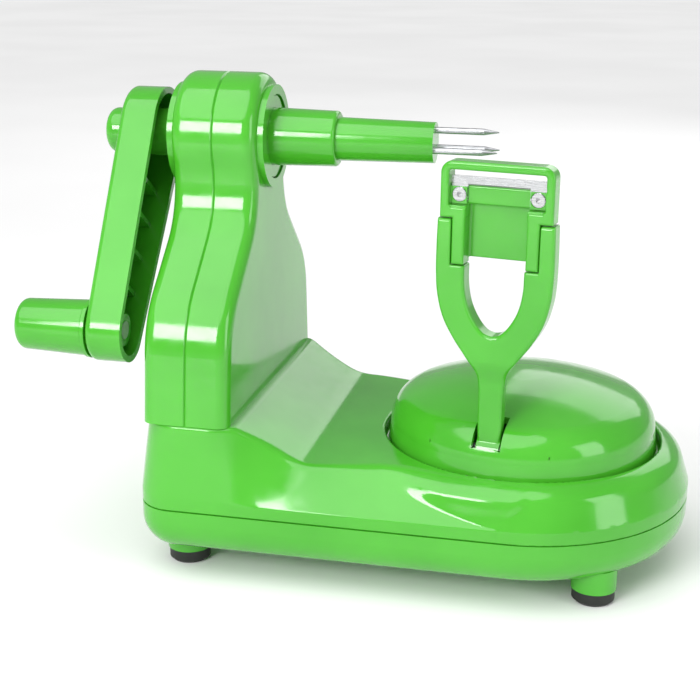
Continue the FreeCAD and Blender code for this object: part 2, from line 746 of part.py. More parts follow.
tower_half("tower_shell_left", left_face, -1)
tower_half("tower_shell_right", right_face, 1)
tower_screws = [case_screw(left_face + 3 - size("head_depth"), y, z, 20, ALONG_X) for y, z in tower_screws_at]
keep(group("tower_screw_group", tower_screws), "tower_screws")
foot_screws = [case_screw(x, y, pedestal - wall - size("head_depth"), 9) for x, y in foot_screws_at]
keep(group("foot_screw_group", foot_screws), "tower_foot_screws")


def bush_of(label, bore, outer, start, end, flange_at, flange_depth):
    """A flanged bush; the flange stands outside the tower."""
    body = cylinder(label + "_body", outer, end - start, (start, 0, shaft_height), ALONG_X)
    flange = cylinder(label + "_flange", outer + size("bush_flange"), flange_depth, (flange_at, 0, shaft_height), ALONG_X)
    hole = cylinder(label + "_bore", bore, 60, (start - 20, 0, shaft_height), ALONG_X)
    return keep(cut(label + "_cut", fuse(label + "_solid", [body, flange]), [hole]), label)


flange_depth = size("bush_flange_depth")
bush_of("shaft_bush_left", shaft_bore, left_bush, left_face, left_face + 5, left_face - flange_depth, flange_depth)
bush_of("shaft_bush_right", sleeve_bore, right_bush, right_face - 6, right_face, right_face, flange_depth)
pin_start = left_face + wall - PIN_HOLD
pin_length = right_face - wall + PIN_HOLD - pin_start
for label, height in (("upper_gear_pin", compound_height), ("lower_gear_pin", idler_height)):
    gear_rod = cylinder(label + "_rod", pin, pin_length, (pin_start, 0, height), ALONG_X)
    keep(group(label + "_group", [gear_rod]), label)
lay = size("lay_radius")
bearing_half = size("bearing_half")
bearings = (("lay_bearing_left", -size("bearing_left"), 3.2), ("lay_bearing_right", -size("bearing_right"), 4.5))
for label, start, depth in bearings:
    block = box(label + "_block", (start, -bearing_half, floor), (start + depth, bearing_half, lay_height + 5))
    hole = cylinder(label + "_bore", lay + gap, 20, (start - 5, 0, lay_height), ALONG_X)
    keep(cut(label + "_cut", block, [hole]), label)


# ---------------------------------------------------------------- gears
def tooth(pitch, unit, half_turn):
    """One tooth that points up (+Z), turned by half a tooth space if half_turn is given."""
    halves = (1.0, 0.68, 0.333)
    levels = (pitch - size("tooth_depth") * unit, pitch, pitch + size("tooth_rise") * unit)
    right = [(half * unit, level) for half, level in zip(halves, levels)]
    points = right + [(-x, y) for x, y in reversed(right)]
    if half_turn is None:
        return points
    turn_sine, turn_cosine = sine(half_turn), cosine(half_turn)
    return [(x * turn_cosine - y * turn_sine, x * turn_sine + y * turn_cosine) for x, y in points]


def toothed(piece, start, length, teeth, half_turn=None, unit=module):
    pitch = unit * teeth / 2.0
    core_radius = pitch - (size("tooth_depth") - 0.2) * unit
    piece.pad("YZ", start, length, circles=[((0, 0), core_radius)])
    piece.repeat(piece.pad("YZ", start, length, [tooth(pitch, unit, half_turn)]), teeth, "X")


def half_space(teeth):
    return 180.0 / teeth


drive = Piece("drive_gear")
toothed(drive, plane_one, width, size("drive_teeth"))
drive.pocket("YZ", plane_one + width, width + 1, circles=[((0, 0), size("shaft_radius"))])
keep(drive, "drive_pinion", shaft_height)

compound = Piece("compound")
toothed(compound, plane_one, width, size("large_teeth"), half_space(size("large_teeth")))
toothed(compound, plane_two, width, size("small_teeth"))
compound.pad("YZ", plane_one + width, plane_two - plane_one - width, circles=[((0, 0), pin + size("pin_boss"))])
compound.pocket("YZ", plane_two + width, 20, circles=[((0, 0), pin + gap)])
keep(compound, "compound_gear", compound_height)

idler = Piece("idler")
toothed(idler, plane_two, width, size("idler_teeth"), half_space(size("idler_teeth")))
idler.pocket("YZ", plane_two + width, width + 1, circles=[((0, 0), pin + gap)])
keep(idler, "idler_gear", idler_height)

lay_wheel = Piece("lay_wheel")
toothed(lay_wheel, plane_two, width, size("lay_teeth"))
lay_wheel.pocket("YZ", plane_two + width, width + 1, circles=[((0, 0), lay)])
keep(lay_wheel, "lay_gear", lay_height)

crown_pitch = size("turntable_radius") - size("crown_inset")
crown_unit = crown_pitch * 2 / size("crown_teeth")
small_crown = crown_unit * size("crown_pinion_teeth") / 2.0
crown_face = size("crown_face")
crown_wheel = Piece("crown_wheel")
toothed(crown_wheel, -crown_pitch - crown_face / 2, crown_face, size("crown_pinion_teeth"), None, crown_unit)
crown_wheel.pocket("YZ", -crown_pitch + crown_face / 2, crown_face + 1, circles=[((0, 0), lay)])
keep(crown_wheel, "crown_pinion", lay_height)
lay_start = -size("lay_left")
lay_end = -crown_pitch + 5
lay_bar = cylinder("lay_bar", lay, lay_end - lay_start, (lay_start, 0, lay_height), ALONG_X)
keep(group("lay_rod", [lay_bar]), "lay_shaft")

# the crown gear hangs under the turntable, with its hub turning in the tray's boss
crown_level = lay_height + small_crown
crown_disc = crown_level + 1.9
crown_top = crown_disc + 2.4
washer_top = size("pan_bottom") - 0.2
crown = Piece("crown")
crown.pad("XY", crown_disc, crown_top - crown_disc, circles=[((0, 0), crown_pitch + 4)])
crown_tooth = [(0.867, 1.333), (0.613, 0.0), (0.333, -0.8)]
crown_tooth = [(half * crown_unit, crown_level + rise * crown_unit) for half, rise in crown_tooth]
crown_tooth = crown_tooth + [(-x, z) for x, z in reversed(crown_tooth)]
crown.repeat(crown.pad("YZ", crown_pitch - 2.2, 4.6, [crown_tooth]), size("crown_teeth"))
crown.pad("XY", washer_top, crown_disc - washer_top, circles=[((0, 0), hub)])
crown.pocket("XY", crown_top, crown_top - washer_top + 1, circles=[((0, 0), hub - hub_wall)])
keep(crown, "crown_gear", 0, Rotation(Vector(0, 0, 1), 3.75), half_space(size("crown_teeth")))

# ---------------------------------------------------------------- turntable
QUARTER = Rotation(Vector(0, 0, -1), 10)
azimuth = size("arm_azimuth")


def dome_profile(inset, bottom):
    """Half section of the dome: side, shoulder, low spherical top."""
    ball = size("dome_sphere")
    shoulder_at = size("turntable_radius") - size("dome_shoulder_in")
    centre = size("dome_top") - ball
    rise = root_of(ball * ball - shoulder_at * shoulder_at)
    reach = size("dome_shoulder")
    middle_x = shoulder_at * (1 - reach / ball)
    middle_z = centre + rise * (1 - reach / ball)
    return [
        (size("turntable_radius") - inset, bottom),
        (middle_x + reach - inset, middle_z),
        (shoulder_at * (1 - inset / ball), centre + rise * (1 - inset / ball), reach - inset, 1),
        (0, size("dome_top") - inset, ball - inset, 1),
        (0, bottom),
    ]


rim_low = size("turntable_bottom")
full_dome = Piece("dome_outside")
full_dome.revolve(dome_profile(ZERO, rim_low))
hollow_dome = Piece("dome_inside")
hollow_dome.revolve(dome_profile(size("dome_wall"), rim_low - 1))
reach = size("arm_reach")
pivot_height = size("pivot_height")
slot_half = size("slot_half")
slot_reach = size("slot_reach")
dome_shell = cut("dome_shell", full_dome.body, [
    hollow_dome.body,
    box("arm_slot", (-slot_half, -reach - slot_reach, pivot_height), (slot_half, slot_reach - reach, size("dome_top") + 5)),
])
lug_in = size("lug_gap")
lug_out = lug_in + size("lug_width")
lugs = [
    box("lug_right", (lug_in, -reach - 4.5, pivot_height - 4.5), (lug_out, -reach + 4.5, size("dome_top"))),
    box("lug_left", (-lug_out, -reach - 4.5, pivot_height - 4.5), (-lug_in, -reach + 4.5, size("dome_top"))),
    cylinder("dome_post", hub + 1, size("dome_top") - crown_top, (0, 0, crown_top)),
]
lug_parts = doc.addObject("Part::MultiCommon", "dome_lugs")
lug_parts.Shapes = [fuse("dome_ribs", lugs), full_dome.body]
spigot = cylinder("dome_spigot", hub - hub_wall, 20, (0, 0, crown_top - 15))
dome_tools = [
    cylinder("pivot_hole", size("pivot_radius"), 40, (-20, -reach, pivot_height), ALONG_X),
    cylinder("spigot_pilot", core, 20, (0, 0, 10)),
]
dome = cut("dome_cut", fuse("dome_solid", [dome_shell, lug_parts, spigot]), dome_tools)
keep(dome, "turntable_dome", 0, QUARTER, azimuth)

washer = cylinder("washer_disc", hub + 3, 1.7, (0, 0, washer_top - 1.7))
washer_hole = cylinder("washer_hole", core, 10, (0, 0, 0))
keep(cut("washer_cut", washer, [washer_hole]), "turntable_washer")
screw_head = cylinder("pivot_screw_head", 4.2, 2.2, (0, 0, washer_top - 3.9))
screw_shank = cylinder("pivot_screw_shank", core, 20.5, (0, 0, washer_top - 1.7))
keep(fuse("pivot_screw", [screw_head, screw_shank]), "turntable_screw")

pivot = size("pivot_radius")
pivot_bar = cylinder("pivot_bar", pivot, lug_out * 2, (-lug_out, -reach, pivot_height), ALONG_X)
keep(group("pivot_group", [pivot_bar]), "arm_pivot_pin", 0, QUARTER, azimuth)

# the torsion spring's coil sits on the pin beside the arm
COIL_WIRE = 0.35
coil = doc.addObject("Part::Helix", "coil_path")
coil.Pitch = 0.45 * 2
coil.Height = 0.9
coil.Radius = 2.3
wire_end = doc.addObject("Part::Circle", "coil_wire")
wire_end.Radius = COIL_WIRE
wire_end.Placement = Placement(Vector(2.3, 0, 0), Rotation(Vector(1, 0, 0), 90))
coil_sweep = doc.addObject("Part::Sweep", "coil_sweep")
coil_sweep.Sections = [wire_end]
coil_sweep.Spine = (coil, [])
coil_sweep.Solid = True
coil_sweep.Frenet = True
coil_turned = put(group("coil_turned", [coil_sweep]), (4.45, -reach, pivot_height), ALONG_X)
keep(group("coil_group", [coil_turned]), "arm_spring", 0, QUARTER, azimuth)

# ---------------------------------------------------------------- arm and blade head
back = reach - 2.5
fork_depth = size("fork_depth")
stem_half = size("stem_half")
fork_half = size("fork_half")
fork_gap = size("fork_gap")
crotch = size("fork_crotch")
shoulder = size("fork_shoulder")
tongue = size("tongue_end")
tongue_half = size("tongue_half")
flare = [(stem_half, crotch - 17), (stem_half + 3.6, crotch - 8)]
flare += [(fork_half - 5.2, crotch + 2), (fork_half, crotch + 16)]


def mirrored(half_outline):
    """A closed outline from its right half, given from the bottom up."""
    return half_outline + [(-x, y) for x, y in reversed(half_outline)]


arm = Piece("arm")
inner_edge = [(tongue_half, shoulder), (tongue_half, tongue), (fork_gap, tongue), (fork_gap, crotch + fork_gap)]
outline = flare + [(fork_half, shoulder)] + inner_edge
outline += [(0, crotch, fork_gap, -1), (-fork_gap, crotch + fork_gap, fork_gap, -1)]
outline += [(-x, y) for x, y in reversed(flare + [(fork_half, shoulder)] + inner_edge[:3])]
arm.pad("XZ", back, fork_depth, [outline])
stem = [(stem_half, pivot_height), (stem_half, crotch - 15)]
arm.pad("XZ", back, size("stem_depth"), [mirrored(stem)])
arm.pad("XZ", back, size("stem_depth"), circles=[((0, pivot_height), stem_half - 0.4)])
bends = [entry[1].number for entry in flare[1:]]
arm.round(10, lambda edge: along_y(edge) and any(near(edge.BoundBox.ZMin, bend) for bend in bends))
arm.pocket("YZ", stem_half + 1, stem_half * 2 + 2, circles=[((-reach, pivot_height), pivot + gap)])
keep(arm, "peeling_arm", 0, QUARTER, azimuth)

head_half = size("head_half")
head_top = size("head_top")
bar = size("head_bar")
crossbar_low = size("crossbar_low")
crossbar_high = size("crossbar_high")
tongue_in = fork_gap + 0.1
head = Piece("head")
frame_half = [(tongue_half, tongue), (tongue_half, shoulder), (head_half, shoulder), (head_half, head_top)]
head_outline = [(tongue_in, crossbar_low), (tongue_in, tongue)] + frame_half
head_outline += [(-x, y) for x, y in reversed(head_outline)]
mouth = mirrored([(head_half - bar, crossbar_high), (head_half - bar, head_top - bar)])
head.pad("XZ", back, fork_depth, [head_outline, mouth])
head.pad("XZ", back, 1.6, [mirrored([(tongue_in + 0.5, tongue + 2), (tongue_in + 0.5, crossbar_low + 0.5)])])
recess = mirrored([(head_half - bar, crossbar_low - 1), (head_half - bar, crossbar_high + 0.5)])
head.pocket("XZ", back + fork_depth, size("head_recess"), [recess])
head.round(4, lambda edge: along_y(edge) and near(edge.BoundBox.ZMin, head_top))
rivet_half = size("rivet_half")
rivet_height = (crossbar_low + crossbar_high) / 2.0
rivets_at = [(side * rivet_half, rivet_height) for side in BOTH]
SHANK = 1.2
head.pocket("XZ", back + fork_depth, fork_depth + 1, circles=[(centre, SHANK) for centre in rivets_at])
keep(head, "blade_head", 0, QUARTER, azimuth)

blade_face = back + fork_depth - size("head_recess")
blade_top = size("blade_top")
thin = size("blade_thickness")
blade = Piece("blade")
blade_half = head_half - bar - 0.2
strip = blade_top - 2.4
blade_edge = [(rivet_half - 2.6, strip), (rivet_half - 2.6, crossbar_low + 0.6), (blade_half, crossbar_low + 0.6)]
blade.pad("XZ", blade_face, thin, [mirrored(blade_edge + [(blade_half, blade_top)])])
blade.pocket("XZ", blade_face + thin, thin + 1, circles=[(centre, SHANK) for centre in rivets_at])
keep(blade, "peeler_blade", 0, QUARTER, azimuth)

TO_FRONT = Rotation(Vector(1, 0, 0), 90)
eyelets = []
for x, z in rivets_at:
    flange = cylinder("eyelet_flange", size("rivet_radius"), 0.6, (x, -blade_face - thin, z), TO_FRONT)
    tube = cylinder("eyelet_tube", SHANK, blade_face + thin - back, (x, -back, z), TO_FRONT)
    hole = cylinder("eyelet_hole", 0.8, 30, (x, -back + 10, z), TO_FRONT)
    eyelets.append(cut("eyelet", fuse("eyelet_solid", [flange, tube]), [hole]))
keep(group("eyelet_group", eyelets), "blade_rivets", 0, QUARTER, azimuth)

# ---------------------------------------------------------------- crank, drawn with the shaft's axis at Z = 0
HANGING = Rotation(Vector(-1, 0, 0), 35)
crank_angle = size("crank_angle")
crank_right = -size("crank_right")
crank_left = crank_right - size("crank_depth")
crank_wall = size("crank_wall")
crank_length = size("crank_length")
taper = (size("crank_hub") - size("crank_end")) / crank_length
taper_cosine = root_of(1 - taper * taper)


def arm_outline(inset):
    """Two rounds joined by tangent lines, hanging down from the shaft."""
    top = size("crank_hub") - inset
    low = size("crank_end") - inset
    return [
        (top * taper_cosine, -(top * taper)),
        (0, top, top, 1),
        (-(top * taper_cosine), -(top * taper), top, 1),
        (-(low * taper_cosine), -crank_length - low * taper),
        (0, -crank_length - low, low, 1),
        (low * taper_cosine, -crank_length - low * taper, low, 1),
    ]


handle_pin = size("handle_pin")
crank = Piece("crank")
crank.pad("YZ", crank_left, size("crank_depth"), [arm_outline(ZERO)])
crank.round(size("crank_round"), lambda edge: flat_at(edge, "x", crank_left))
crank.pocket("YZ", crank_right, size("crank_depth") - crank_wall, [arm_outline(crank_wall)])
rib_depth = (size("crank_depth") - crank_wall) * 0.55
half_rib = size("crank_rib") / 2
for share in (0.25, 0.42, 0.6, 0.78):
    level = crank_length * share
    rib_half = size("crank_hub") - level * taper - crank_wall / 2
    rib = mirrored([(rib_half, -level - half_rib), (rib_half, -level + half_rib)])
    crank.pad("YZ", crank_left + crank_wall - 0.2, rib_depth, [rib])
spacer = left_face - flange_depth - 0.4
crank.pad("YZ", crank_left + crank_wall - 0.2, spacer - crank_left - crank_wall, circles=[((0, 0), size("crank_boss"))])
tip = [((0, -crank_length), handle_pin + 2.4)]
crank.pad("YZ", crank_left + crank_wall - 0.2, size("crank_depth") - crank_wall - 2, circles=tip)
crank.pocket("YZ", spacer + 1, spacer + 1 - crank_left - crank_wall, circles=[((0, 0), size("shaft_radius"))])
crank.pocket("YZ", spacer + 1, 40, circles=[((0, 0), core)])
crank.pocket("YZ", crank_right, size("crank_depth") + 1, circles=[((0, -crank_length), handle_pin)])
keep(crank, "crank_arm", shaft_height, HANGING, crank_angle)

cap = Piece("cap")
cap_height = size("hub_cap_height")
cap.pad("YZ", crank_left - cap_height, cap_height, circles=[((0, 0), size("hub_cap_radius"))])
cap.round(3.2, lambda edge: flat_at(edge, "x", crank_left - cap_height))
cap.pocket("YZ", crank_left, cap_height - 3, circles=[((0, 0), size("hub_cap_radius") - 2)])
keep(cap, "hub_cap", shaft_height)
crank_screw = fuse("crank_screw_solid", [
    cylinder("crank_screw_head", 4.4, 2.8, (crank_left - 2.8, 0, 0), ALONG_X),
    cylinder("crank_screw_shank", core, 14, (crank_left, 0, 0), ALONG_X),
])
keep(crank_screw, "crank_screw", shaft_height)

sleeve_end = -size("sleeve_end")
sleeve_start = -size("sleeve_start")
fork_start = -size("fork_start")
fork_end = -size("fork_end")
shaft_start = crank_left + crank_wall
shaft_bar = cylinder("shaft_bar", size("shaft_radius"), sleeve_end + 5 - shaft_start, (shaft_start, 0, 0), ALONG_X)
shaft_thread = cylinder("shaft_thread", core, 30, (crank_left - 16, 0, 0), ALONG_X)
keep(cut("shaft_cut", shaft_bar, [shaft_thread]), "main_shaft", shaft_height)

sleeve = Piece("sleeve")
sleeve_out = size("sleeve_radius")
sleeve_path = [
    (sleeve_start, size("shaft_radius")),
    (fork_start, size("shaft_radius")),
    (fork_start, size("fork_root")),
    (sleeve_end, size("fork_root")),
    (sleeve_end, size("sleeve_nose")),
    (right_face + 3, sleeve_out),
    (sleeve_start, sleeve_out),
]
sleeve.revolve(sleeve_path, axis="H_Axis")
sleeve.round(1.1, lambda edge: flat_at(edge, "x", sleeve_end) and edge.BoundBox.ZMax > size("fork_root").number + 0.5)
keep(sleeve, "shaft_sleeve", shaft_height)

thin_shaft = Piece("thin_shaft")
thin_shaft.revolve([
    (fork_start, size("shaft_radius")),
    (sleeve_end + 5, size("shaft_radius")),
    (sleeve_end + 5, 0),
    (fork_end, 0),
    (fork_end, size("fork_tip")),
    (sleeve_end, size("fork_root")),
    (fork_start, size("fork_root")),
], axis="H_Axis")
prong_at = []
for index in range(3):
    angle = as_size(index * 120.0 + 90.0)
    prong_at.append((size("prong_circle") * cosine(angle), size("prong_circle") * sine(angle)))
PRONG_HOLD = 10.0
prong = size("prong_radius")
thin_shaft.pocket("YZ", fork_end, PRONG_HOLD, circles=[(centre, prong) for centre in prong_at])
keep(thin_shaft, "fork_shaft", shaft_height)
prongs = []
for y, z in prong_at:
    rod = cylinder("prong_rod", prong, PRONG_HOLD + size("prong_length") - 5, (fork_end - PRONG_HOLD, y, z), ALONG_X)
    point = cone("prong_point", prong, 0.2, 5, (fork_end + size("prong_length") - 5, y, z), ALONG_X)
    prongs.append(fuse("prong", [rod, point]))
keep(group("prong_group", prongs), "fork_prongs", shaft_height)

# ---------------------------------------------------------------- handle, on a pin at the crank's end
grip_end = crank_left - HANDLE_GAP - size("handle_length")
grip_start = crank_left - HANDLE_GAP
END_RECESS = 4.0
grip = Piece("grip")
grip_path = [
    (grip_start, handle_pin + gap),
    (grip_start, size("handle_root") + 0.5),
    (grip_start - 1.2, size("handle_root") + 0.5),
    (grip_start - 1.6, size("handle_root")),
    (grip_end, size("handle_tip")),
    (grip_end, 5.6),
    (grip_end + END_RECESS, 5.6),
    (grip_end + END_RECESS, handle_pin + gap),
]
grip.revolve(grip_path, axis="H_Axis")
grip.round(size("handle_round"), lambda edge: flat_at(edge, "x", grip_end) and edge.BoundBox.ZMax > 6)


def at_handle(item, label):
    """Places a piece drawn round the handle's axis at the end of the hanging crank."""
    item = item.body if isinstance(item, Piece) else item
    item.Label = label
    drop = crank_length * cosine(crank_angle)
    reach_out = crank_length * sine(crank_angle)
    put(item, (SHIFT, -reach_out, shaft_height - drop))
    kept.append(item)


at_handle(grip, "handle_grip")
cap_disc = cylinder("handle_cap_disc", 5.6, 1.2, (grip_end + 0.3, 0, 0), ALONG_X)
at_handle(group("handle_cap_group", [cap_disc]), "handle_cap")
pin_head = cylinder("pin_head", 4.8, 1.8, (grip_end + 1.9, 0, 0), ALONG_X)
pin_bar = cylinder("pin_bar", handle_pin, crank_right - 2 - grip_end - 3.7, (grip_end + 3.7, 0, 0), ALONG_X)
at_handle(fuse("handle_pin_solid", [pin_head, pin_bar]), "handle_pin")

# ---------------------------------------------------------------- write the pieces
doc.recompute()
faults = [item.Name for item in doc.Objects if "Invalid" in item.State or "Error" in item.State]
faults += [item.Label for item in kept if item.Shape.isNull() or not item.Shape.isValid() or not item.Shape.Solids]
if faults:
    raise RuntimeError("pieces that did not build: " + ", ".join(faults))
for item in kept:
    item.Shape.exportStep("parts/" + item.Label + ".step")
print(len(kept), "pieces written")
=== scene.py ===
import json
import math

import bmesh
import bpy
import numpy as np
from mathutils import Matrix, Vector

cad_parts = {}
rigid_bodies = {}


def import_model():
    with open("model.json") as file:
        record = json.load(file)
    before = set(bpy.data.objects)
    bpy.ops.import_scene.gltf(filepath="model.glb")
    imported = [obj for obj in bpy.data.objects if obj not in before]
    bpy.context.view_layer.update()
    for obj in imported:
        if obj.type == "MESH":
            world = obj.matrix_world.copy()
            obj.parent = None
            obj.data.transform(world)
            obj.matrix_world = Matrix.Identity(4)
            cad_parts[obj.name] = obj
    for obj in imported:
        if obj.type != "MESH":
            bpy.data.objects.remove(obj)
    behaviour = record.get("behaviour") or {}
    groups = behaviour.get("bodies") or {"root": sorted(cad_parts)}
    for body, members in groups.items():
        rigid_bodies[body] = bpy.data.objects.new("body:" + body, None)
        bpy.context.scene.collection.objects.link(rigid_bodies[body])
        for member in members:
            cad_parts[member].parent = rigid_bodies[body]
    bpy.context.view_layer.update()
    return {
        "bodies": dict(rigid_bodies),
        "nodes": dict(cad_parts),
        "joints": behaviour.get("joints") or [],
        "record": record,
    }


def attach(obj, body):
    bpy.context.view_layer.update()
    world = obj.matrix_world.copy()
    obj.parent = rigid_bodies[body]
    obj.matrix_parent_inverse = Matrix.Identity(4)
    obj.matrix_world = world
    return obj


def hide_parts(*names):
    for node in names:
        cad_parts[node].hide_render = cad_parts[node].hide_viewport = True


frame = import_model()
nodes = frame["nodes"]

# ------------------------------------------------------------------ camera
AIM = Vector((-0.00781, 0.0, 0.06735))
EYE = Vector((0.08970, -0.44835, 0.20833))
ROLL = math.radians(0.539)
camera_data = bpy.data.cameras.new("camera")
camera_data.lens = 70.04
camera_data.sensor_width = 36.0
camera_data.clip_start = 0.01
camera = bpy.data.objects.new("camera", camera_data)
bpy.context.collection.objects.link(camera)
back = (EYE - AIM).normalized()
right = Vector((0, 0, 1)).cross(back).normalized()
up = back.cross(right)
turned_right = right * math.cos(ROLL) + up * math.sin(ROLL)
turned_up = up * math.cos(ROLL) - right * math.sin(ROLL)
camera.matrix_world = Matrix((
    (turned_right.x, turned_up.x, back.x, EYE.x),
    (turned_right.y, turned_up.y, back.y, EYE.y),
    (turned_right.z, turned_up.z, back.z, EYE.z),
    (0, 0, 0, 1),
))
bpy.context.scene.camera = camera
bpy.context.scene.view_settings.view_transform = "Standard"


# ------------------------------------------------------------------ materials
def new_material(name):
    material = bpy.data.materials.new(name)
    material.use_nodes = True
    tree = material.node_tree
    shader = tree.nodes["Principled BSDF"]
    return material, tree, shader


def link(tree, source, out_name, target, in_name):
    tree.links.new(source.outputs[out_name], target.inputs[in_name])


def noise(tree, scale, detail=2.0, stretch=None):
    """Noise over the object's own coordinates; scale is in lumps per metre."""
    place = tree.nodes.new("ShaderNodeTexCoord")
    mapping = tree.nodes.new("ShaderNodeMapping")
    if stretch:
        mapping.inputs["Scale"].default_value = stretch
    link(tree, place, "Object", mapping, "Vector")
    item = tree.nodes.new("ShaderNodeTexNoise")
    item.inputs["Scale"].default_value = scale
    item.inputs["Detail"].default_value = detail
    link(tree, mapping, "Vector", item, "Vector")
    return item


def ramp(tree, source, low, high, start=0.35, end=0.65):
    """Maps a 0 to 1 value to a range of colours or numbers."""
    item = tree.nodes.new("ShaderNodeMapRange")
    item.inputs["From Min"].default_value = start
    item.inputs["From Max"].default_value = end
    item.inputs["To Min"].default_value = low
    item.inputs["To Max"].default_value = high
    link(tree, source, "Fac" if "Fac" in source.outputs else "Result", item, "Value")
    return item


def mixed(tree, source, first, second):
    item = tree.nodes.new("ShaderNodeMix")
    item.data_type = "RGBA"
    item.inputs["A"].default_value = (*first, 1)
    item.inputs["B"].default_value = (*second, 1)
    link(tree, source, "Result", item, "Factor")
    return item


def green_plastic(name, deep=(0.054, 0.36, 0.018), bright=(0.070, 0.42, 0.026), gloss=0.13, grain=0.015):
    material, tree, shader = new_material(name)
    flow = noise(tree, 26, 3)
    colour = mixed(tree, ramp(tree, flow, 0, 1), deep, bright)
    tree.links.new(colour.outputs["Result"], shader.inputs["Base Color"])
    haze = noise(tree, 240, 2)
    rough = ramp(tree, haze, gloss - 0.04, gloss + 0.05)
    link(tree, rough, "Result", shader, "Roughness")
    skin = noise(tree, 900, 2)
    bump = tree.nodes.new("ShaderNodeBump")
    bump.inputs["Strength"].default_value = grain
    bump.inputs["Distance"].default_value = 0.0004
    link(tree, skin, "Fac", bump, "Height")
    link(tree, bump, "Normal", shader, "Normal")
    shader.inputs["Specular IOR Level"].default_value = 0.5
    shader.inputs["IOR"].default_value = 1.49
    shader.inputs["Subsurface Weight"].default_value = 0.10
    shader.inputs["Subsurface Radius"].default_value = (0.3, 1.0, 0.2)
    shader.inputs["Subsurface Scale"].default_value = 0.002
    shader.inputs["Coat Weight"].default_value = 0.25
    shader.inputs["Coat Roughness"].default_value = 0.08
    return material


def metal(name, colour, rough, stretch, scale=600, wear=0.08):
    material, tree, shader = new_material(name)
    streak = noise(tree, scale, 3, stretch)
    dark = tuple(value * 0.82 for value in colour)
    tone = mixed(tree, ramp(tree, streak, 0, 1), dark, colour)
    tree.links.new(tone.outputs["Result"], shader.inputs["Base Color"])
    polish = ramp(tree, streak, rough - wear / 2, rough + wear / 2)
    link(tree, polish, "Result", shader, "Roughness")
    bump = tree.nodes.new("ShaderNodeBump")
    bump.inputs["Strength"].default_value = 0.08
    bump.inputs["Distance"].default_value = 0.0002
    link(tree, streak, "Fac", bump, "Height")
    link(tree, bump, "Normal", shader, "Normal")
    shader.inputs["Metallic"].default_value = 1.0
    return material


def rubber(name):
    material, tree, shader = new_material(name)
    dust = noise(tree, 180, 4)
    tone = mixed(tree, ramp(tree, dust, 0, 1), (0.008, 0.009, 0.008), (0.022, 0.023, 0.021))
    tree.links.new(tone.outputs["Result"], shader.inputs["Base Color"])
    rough = ramp(tree, dust, 0.45, 0.7)
    link(tree, rough, "Result", shader, "Roughness")
    pores = noise(tree, 1800, 2)
    bump = tree.nodes.new("ShaderNodeBump")
    bump.inputs["Strength"].default_value = 0.15
    bump.inputs["Distance"].default_value = 0.0003
    link(tree, pores, "Fac", bump, "Height")
    link(tree, bump, "Normal", shader, "Normal")
    return material


def nylon(name, tone=(0.80, 0.79, 0.74)):
    material, tree, shader = new_material(name)
    flow = noise(tree, 90, 3)
    colour = mixed(tree, ramp(tree, flow, 0, 1), tuple(value * 0.93 for value in tone), tone)
    tree.links.new(colour.outputs["Result"], shader.inputs["Base Color"])
    rough = ramp(tree, noise(tree, 500, 2), 0.38, 0.5)
    link(tree, rough, "Result", shader, "Roughness")
    shader.inputs["Subsurface Weight"].default_value = 0.15
    shader.inputs["Subsurface Radius"].default_value = (1.0, 0.9, 0.8)
    shader.inputs["Subsurface Scale"].default_value = 0.0015
    return material


green = green_plastic("green_moulding")
gear_white = nylon("gear_nylon")
black = rubber("foot_rubber")
zinc = metal("zinc_steel", (0.55, 0.56, 0.58), 0.32, (1, 1, 1))
stainless = metal("blade_steel", (0.56, 0.57, 0.58), 0.26, (1, 1, 12), 300)
slot_material = {
    "green_plastic": green,
    "gear_plastic": gear_white,
    "black_rubber": black,
    "steel_fittings": zinc,
    "blade_steel": stainless,
}
slot_of = {entry["node"]: entry["material_slot"] for entry in frame["record"]["subparts"]}
for name, item in nodes.items():
    item.data.materials.clear()
    item.data.materials.append(slot_material[slot_of[name]])

# ------------------------------------------------------------------ moulded shapes
# A moulding is described by a field: negative inside, positive outside, zero on its skin. Lengths are millimetres.
def smax(first, second, soft):
    """The larger of two fields, with the edge between them rounded."""
    blend = np.maximum(soft - np.abs(first - second), 0.0)
    return np.maximum(first, second) + blend * blend / (4.0 * soft)


def smin(first, second, soft):
    return -smax(-first, -second, soft)


def rounded(first, second, radius):
    """Where both fields are negative, with a round edge of the given radius."""
    one, two = first + radius, second + radius
    outside = np.hypot(np.maximum(one, 0.0), np.maximum(two, 0.0))
    return outside + np.minimum(np.maximum(one, two), 0.0) - radius


def blocky(point, low, high, radius=0.0):
    """A box with rounded edges."""
    spans = []
    for value, first, second in zip(point, low, high):
        spans.append(np.abs(value - (first + second) / 2.0) - (second - first) / 2.0 + radius)
    outside = np.sqrt(sum(np.maximum(span, 0.0) ** 2 for span in spans))
    inside = np.minimum(np.maximum(np.maximum(spans[0], spans[1]), spans[2]), 0.0)
    return outside + inside - radius


def outline_field(u, v, corners):
    """Distance to a closed outline, negative inside it."""
    best = np.full(np.shape(u), 1e18)
    inside = np.zeros(np.shape(u), bool)
    for (ax, ay), (bx, by) in zip(corners, corners[1:] + corners[:1]):
        span = (bx - ax) ** 2 + (by - ay) ** 2
        along = np.clip(((u - ax) * (bx - ax) + (v - ay) * (by - ay)) / span, 0.0, 1.0)
        best = np.minimum(best, (u - ax - along * (bx - ax)) ** 2 + (v - ay - along * (by - ay)) ** 2)
        crosses = ((ay > v) != (by > v)) & (u < (bx - ax) * (v - ay) / (by - ay + 1e-12) + ax)
        inside ^= crosses
    return np.where(inside, -1.0, 1.0) * np.sqrt(best)


def step_between(value, start, end):
    share = np.clip((value - start) / (end - start), 0.0, 1.0)
    return share * share * (3.0 - 2.0 * share)


